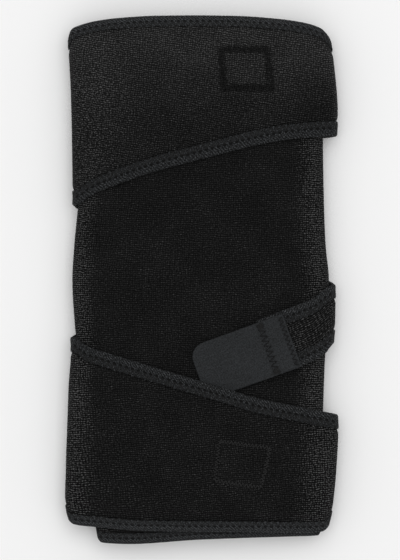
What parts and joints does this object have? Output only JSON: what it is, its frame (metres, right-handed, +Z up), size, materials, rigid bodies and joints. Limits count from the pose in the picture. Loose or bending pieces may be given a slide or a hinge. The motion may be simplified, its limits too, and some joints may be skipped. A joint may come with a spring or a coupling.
{
  "type": "knee support",
  "caption": "Padded black knit knee support lying flat: an open-ended sleeve with a wide wrap at each end, a slanting strap and a smooth hook tab.",
  "frame": {"origin": "middle of the footprint, on the surface that the support lies on", "axes": "+X to the right as seen from the front, +Y from the calf end to the thigh end, +Z up out of the front"},
  "size_m": [0.1662, 0.32, 0.0236],
  "materials": {
    "knit": "matt padded knit, black",
    "tape": "soft matt binding tape, black",
    "hook_cloth": "smooth woven back of hook tape, dark grey"
  },
  "bodies": {
    "root": {"sleeve": "knit", "sleeve_bottom_binding": "tape", "sleeve_top_binding": "tape", "upper_wrap": "knit", "upper_wrap_binding": "tape", "lower_wrap": "knit", "lower_wrap_binding": "tape", "strap": "knit", "strap_upper_binding": "tape", "strap_lower_binding": "tape", "hook_tab": "hook_cloth"}
  },
  "joints": []
}
